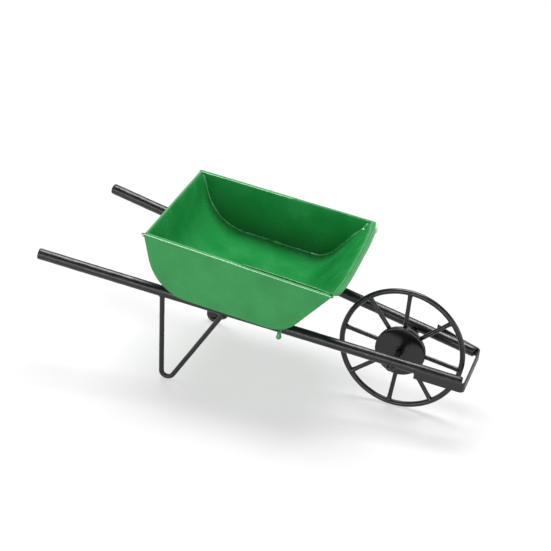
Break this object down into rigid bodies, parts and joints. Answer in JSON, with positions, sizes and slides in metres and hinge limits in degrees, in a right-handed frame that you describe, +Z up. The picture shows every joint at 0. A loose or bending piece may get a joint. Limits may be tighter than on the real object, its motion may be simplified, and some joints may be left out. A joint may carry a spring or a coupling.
{
  "type": "wheelbarrow",
  "caption": "Miniature metal wheelbarrow: open sheet tray on two straight rods, bent-wire legs and a turning spoked wheel between the rod ends.",
  "frame": {"origin": "on the ground, under the middle of the object's box", "axes": "+X from the handles to the nose, +Y to the barrow's left, +Z up"},
  "size_m": [0.1256, 0.056, 0.0468],
  "materials": {
    "green_enamel": "glossy green enamel, brushed on over tinplate",
    "black_enamel": "gloss black enamel, dipped, over steel rod and wire"
  },
  "bodies": {
    "barrow": {"axle": "black_enamel", "axle_solder_left": "black_enamel", "axle_solder_right": "black_enamel", "front_bow": "black_enamel", "leg_left": "black_enamel", "leg_right": "black_enamel", "leg_solder_left_front": "black_enamel", "leg_solder_left_rear": "black_enamel", "leg_solder_right_front": "black_enamel", "leg_solder_right_rear": "black_enamel", "rail_left": "black_enamel", "rail_right": "black_enamel", "seam_fillet_left": "green_enamel", "seam_fillet_right": "green_enamel", "tray_cross_wire": "green_enamel", "tray_side_left": "green_enamel", "tray_side_right": "green_enamel", "tray_solder_left": "green_enamel", "tray_solder_right": "green_enamel", "tray_wrap": "green_enamel"},
    "wheel": {"hub_disc_left": "black_enamel", "hub_disc_right": "black_enamel", "hub_tube": "black_enamel", "spoke_1": "black_enamel", "spoke_2": "black_enamel", "spoke_3": "black_enamel", "spoke_4": "black_enamel", "spoke_5": "black_enamel", "spoke_6": "black_enamel", "spoke_7": "black_enamel", "spoke_8": "black_enamel", "wheel_rim": "black_enamel"}
  },
  "joints": [
    {"name": "wheel_spin", "type": "hinge", "parent": "barrow", "child": "wheel", "pos_m": [0.04122, -0.0012, 0.01875], "axis": [0, 1, 0], "continuous": true}
  ]
}
